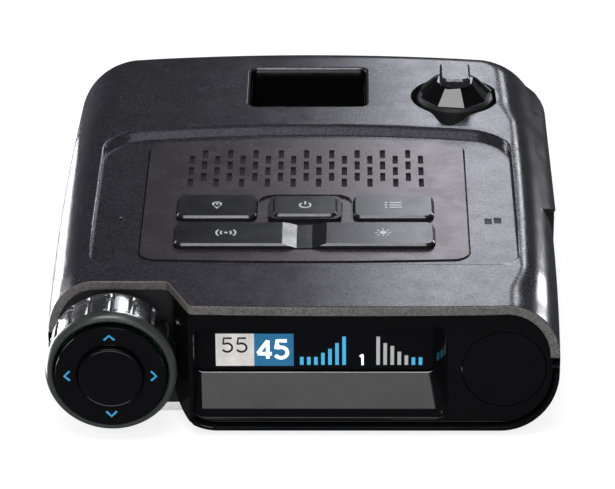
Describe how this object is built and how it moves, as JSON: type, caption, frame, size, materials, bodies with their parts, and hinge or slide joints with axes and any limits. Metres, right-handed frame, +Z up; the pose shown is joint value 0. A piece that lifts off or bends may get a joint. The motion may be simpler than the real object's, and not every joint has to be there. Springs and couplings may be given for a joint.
{
  "type": "radar detector",
  "caption": "Flat dash or windscreen radar detector with a side dial and direction pad, display window, top key panel, mount pocket and sensor turret.",
  "frame": {"origin": "under the middle of the bounding box, on the flat underside", "axes": "+X to the driver's right, +Y towards the windscreen, +Z up"},
  "size_m": [0.1119, 0.14, 0.0384],
  "materials": {
    "case_satin": "satin dark gunmetal paint with a fine metallic fleck over moulded plastic",
    "case_black": "fine-textured black moulded plastic",
    "gloss_black": "polished black plastic",
    "panel_metal": "warm grey satin metallic paint",
    "key_satin": "dark grey satin metallic paint",
    "knob_metal": "satin turned aluminium",
    "bezel_satin": "satin graphite paint",
    "smoked": "smoked clear plastic",
    "clear": "coated clear glass",
    "arrow_blue": "cyan-blue translucent inlay",
    "display_glass": "black display glass with lit segments",
    "circuit_green": "solder-masked circuit board",
    "rubber_grey": "moulded silicone rubber",
    "steel": "plain steel",
    "diecast": "cast aluminium",
    "ceramic_tan": "fired ceramic",
    "magnet_grey": "dark sintered magnet",
    "paper_black": "pressed paper cone",
    "foam_black": "closed-cell foam"
  },
  "bodies": {
    "housing": {"top_cover": "case_satin", "bottom_cover": "case_black", "front_fascia": "gloss_black", "display_shroud": "gloss_black", "display_window": "smoked", "display_screen": "display_glass", "rear_sensor_window": "gloss_black", "rear_laser_sensor": "case_black", "control_panel": "panel_metal", "keypad_membrane": "rubber_grey", "keypad_board": "circuit_green", "keypad_domes": "steel", "speaker_gasket": "foam_black", "speaker_basket": "steel", "speaker_cone": "paper_black", "speaker_magnet": "magnet_grey", "dial_post": "case_black", "dial_encoder": "case_black", "dial_bulkhead": "case_black", "pad_board": "circuit_green", "pad_contacts": "steel", "turret_base": "case_black", "turret_lens": "gloss_black", "turret_hood": "case_black", "turret_cap": "case_satin", "turret_sensors": "case_black", "mount_pocket": "gloss_black", "mount_magnets": "magnet_grey", "microphone_grommet": "foam_black", "microphone": "steel", "light_sensor_windows": "smoked", "windscreen_window": "smoked", "laser_receivers": "case_black", "camera_bracket": "case_black", "main_board": "circuit_green", "board_screws": "steel", "cover_screws": "steel", "radar_housing": "diecast", "front_horn": "diecast", "rear_horn": "diecast", "shield_cans": "steel", "gps_antenna": "ceramic_tan", "backup_cell": "steel", "port_panel": "case_black", "power_jack": "case_black", "earphone_jack": "case_black", "card_reader": "steel"},
    "dial": {"dial_bezel": "bezel_satin", "dial_band": "knob_metal"},
    "gimbal": {"pad_gimbal": "case_black"},
    "pad": {"direction_pad": "gloss_black", "direction_arrows": "arrow_blue"},
    "mute": {"mute_button": "gloss_black"},
    "marker_key": {"marker_button": "key_satin"},
    "power_key": {"power_button": "key_satin"},
    "program_key": {"program_button": "key_satin"},
    "rocker": {"rocker_bar": "key_satin"},
    "camera": {"camera_barrel": "case_black", "camera_lens": "clear", "camera_sensor": "circuit_green"}
  },
  "joints": [
    {"name": "dial_turn", "type": "hinge", "parent": "housing", "child": "dial", "pos_m": [-0.041, -0.06595, 0.0166], "axis": [0, 1, 0], "continuous": true},
    {"name": "pad_up_down", "type": "hinge", "parent": "housing", "child": "gimbal", "pos_m": [-0.041, -0.06575, 0.0166], "axis": [1, 0, 0], "range_deg": [-2.5, 2.5], "stiffness_Nm_per_rad": 0.5},
    {"name": "pad_left_right", "type": "hinge", "parent": "gimbal", "child": "pad", "pos_m": [-0.041, -0.06575, 0.0166], "axis": [0, 0, 1], "range_deg": [-2.5, 2.5], "stiffness_Nm_per_rad": 0.5},
    {"name": "mute_press", "type": "slide", "parent": "pad", "child": "mute", "axis": [0, 1, 0], "range_m": [0, 0.0005], "stiffness_N_per_m": 400, "springref_m": -0.0003},
    {"name": "marker_press", "type": "slide", "parent": "housing", "child": "marker_key", "axis": [0, 0, -1], "range_m": [0, 0.0005], "stiffness_N_per_m": 400, "springref_m": -0.0003},
    {"name": "power_press", "type": "slide", "parent": "housing", "child": "power_key", "axis": [0, 0, -1], "range_m": [0, 0.0005], "stiffness_N_per_m": 400, "springref_m": -0.0003},
    {"name": "program_press", "type": "slide", "parent": "housing", "child": "program_key", "axis": [0, 0, -1], "range_m": [0, 0.0005], "stiffness_N_per_m": 400, "springref_m": -0.0003},
    {"name": "rocker_tilt", "type": "hinge", "parent": "housing", "child": "rocker", "pos_m": [0, -0.03125, 0.0281], "axis": [0, 1, 0], "range_deg": [-1.2, 1.2], "stiffness_Nm_per_rad": 2},
    {"name": "camera_tilt", "type": "hinge", "parent": "housing", "child": "camera", "pos_m": [0.035, 0.05985, 0.0165], "axis": [1, 0, 0], "range_deg": [-12, 12]}
  ]
}
